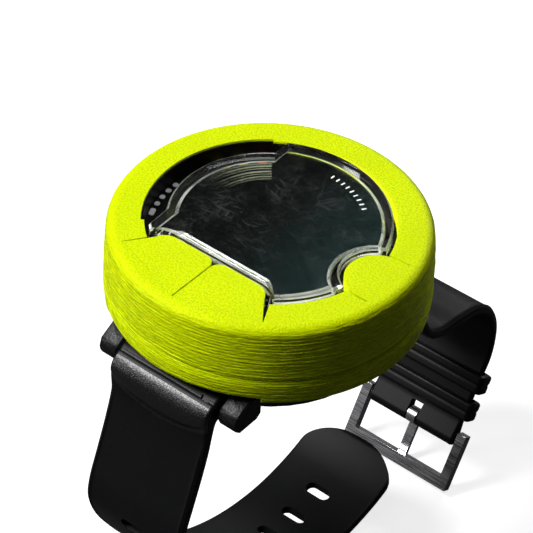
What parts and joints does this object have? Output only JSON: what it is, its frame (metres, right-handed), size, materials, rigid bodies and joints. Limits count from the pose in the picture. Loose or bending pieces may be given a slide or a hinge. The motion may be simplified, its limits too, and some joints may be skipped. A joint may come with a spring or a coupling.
{
  "type": "dive computer",
  "caption": "Round wrist dive computer with press buttons under a soft lime bumper boot, a clear display shield and an open rubber buckle strap.",
  "frame": {"origin": "centre of the flat outer face of the case back, on the battery lid", "axes": "+Z out through the display, +Y to 12 o'clock along the strap, +X to 3 o'clock"},
  "size_m": [0.0684, 0.1199, 0.1174],
  "materials": {
    "lime_boot": "printed soft lime elastomer, sandy top, layered sides",
    "shield_clear": "clear glossy moulded plastic with fine scratches",
    "window_crystal": "clear polished window",
    "case_black": "coarse textured black moulded plastic",
    "dial_black": "smooth black",
    "strap_rubber": "smooth matte black rubber",
    "seal_rubber": "plain rubber",
    "steel": "satin stainless steel",
    "board_green": "solder resist",
    "chip_black": "moulded package",
    "display_dark": "dark liquid crystal panel, switched off",
    "white_plastic": "plain white moulding",
    "brass_contact": "plated contact metal"
  },
  "bodies": {
    "case_body": {"boot": "lime_boot", "display_shield": "shield_clear", "display_window": "window_crystal", "case": "case_black", "case_back": "case_black", "battery_lid": "case_black", "case_screw_1": "steel", "case_screw_2": "steel", "case_screw_3": "steel", "case_screw_4": "steel", "battery_lid_o_ring": "seal_rubber", "battery": "steel", "battery_contact_minus": "brass_contact", "battery_contact_plus": "brass_contact", "case_back_gasket": "seal_rubber", "main_board": "board_green", "microcontroller": "chip_black", "buzzer": "brass_contact", "connector_strip": "white_plastic", "light_guide": "white_plastic", "lcd_panel": "display_dark", "display_holder": "white_plastic", "pressure_sensor": "steel", "sensor_cover": "steel", "water_contact_upper": "steel", "water_contact_lower": "steel", "dial_ring": "dial_black", "button_o_ring_lower_left": "seal_rubber", "button_o_ring_lower_right": "seal_rubber", "button_o_ring_side": "seal_rubber", "button_spring_lower_left": "steel", "button_spring_lower_right": "steel", "button_spring_side": "steel", "switch_lower_left": "chip_black", "switch_lower_right": "chip_black", "switch_side": "chip_black", "strap_pin_tail": "steel", "strap_pin_buckle": "steel"},
    "pad_lower_left": {"boot_pad_lower_left": "lime_boot"},
    "press_lower_left": {"button_lower_left": "case_black", "button_clip_lower_left": "steel"},
    "pad_lower_right": {"boot_pad_lower_right": "lime_boot"},
    "press_lower_right": {"button_lower_right": "case_black", "button_clip_lower_right": "steel"},
    "pad_side": {"boot_pad_side": "lime_boot"},
    "press_side": {"button_side": "case_black", "button_clip_side": "steel"},
    "lock_ring": {"battery_lock_ring": "case_black"},
    "tail_half": {"strap_tail_half": "strap_rubber"},
    "buckle_half": {"strap_buckle_half": "strap_rubber", "buckle_pin": "steel"},
    "keeper_upper": {"strap_keeper_upper": "strap_rubber"},
    "keeper_lower": {"strap_keeper_lower": "strap_rubber"},
    "frame": {"buckle_frame": "steel"},
    "prong": {"buckle_prong": "steel"}
  },
  "joints": [
    {"name": "pad_lower_left_flex", "type": "hinge", "parent": "case_body", "child": "pad_lower_left", "pos_m": [-0.00905, -0.02787, 0.0267], "axis": [-0.9511, 0.309, 0], "range_deg": [0, 7], "stiffness_Nm_per_rad": 0.05},
    {"name": "button_lower_left_press", "type": "slide", "parent": "case_body", "child": "press_lower_left", "axis": [0, 0, -1], "range_m": [0, 0.00064], "deforming": ["button_spring_lower_left"]},
    {"name": "pad_lower_right_flex", "type": "hinge", "parent": "case_body", "child": "pad_lower_right", "pos_m": [0.00905, -0.02787, 0.0267], "axis": [-0.9511, -0.309, 0], "range_deg": [0, 7], "stiffness_Nm_per_rad": 0.05},
    {"name": "button_lower_right_press", "type": "slide", "parent": "case_body", "child": "press_lower_right", "axis": [0, 0, -1], "range_m": [0, 0.00064], "deforming": ["button_spring_lower_right"]},
    {"name": "pad_side_flex", "type": "hinge", "parent": "case_body", "child": "pad_side", "pos_m": [0.0296, 0, 0.0267], "axis": [0, -1, 0], "range_deg": [0, 7], "stiffness_Nm_per_rad": 0.05},
    {"name": "button_side_press", "type": "slide", "parent": "case_body", "child": "press_side", "axis": [0, 0, -1], "range_m": [0, 0.00069], "deforming": ["button_spring_side"]},
    {"name": "lock_ring_turn", "type": "hinge", "parent": "case_body", "child": "lock_ring", "pos_m": [0, 0, 0.001], "axis": [0, 0, -1], "range_deg": [0, 60]},
    {"name": "tail_half_swing", "type": "hinge", "parent": "case_body", "child": "tail_half", "pos_m": [0, -0.0302, 0.0052], "axis": [-1, 0, 0], "range_deg": [0, 80]},
    {"name": "buckle_half_swing", "type": "hinge", "parent": "case_body", "child": "buckle_half", "pos_m": [0, 0.0302, 0.0052], "axis": [1, 0, 0], "range_deg": [0, 70]},
    {"name": "keeper_upper_slide", "type": "slide", "parent": "buckle_half", "child": "keeper_upper", "axis": [0, -0.5, -0.866], "range_m": [-0.0015, 0.001]},
    {"name": "keeper_lower_slide", "type": "slide", "parent": "buckle_half", "child": "keeper_lower", "axis": [0, -0.5, -0.866], "range_m": [-0.001, 0.0008]},
    {"name": "buckle_frame_swing", "type": "hinge", "parent": "buckle_half", "child": "frame", "pos_m": [0, 0.0637, -0.07592], "axis": [1, 0, 0], "range_deg": [-20, 40]},
    {"name": "buckle_prong_lift", "type": "hinge", "parent": "frame", "child": "prong", "pos_m": [0, 0.0637, -0.07592], "axis": [1, 0, 0], "range_deg": [0, 70]}
  ],
  "couplings": [
    {"joint": "pad_lower_left_flex", "follows": "button_lower_left_press", "rad_per_m": 189.67},
    {"joint": "pad_lower_right_flex", "follows": "button_lower_right_press", "rad_per_m": 189.67},
    {"joint": "pad_side_flex", "follows": "button_side_press", "rad_per_m": 175.44}
  ]
}
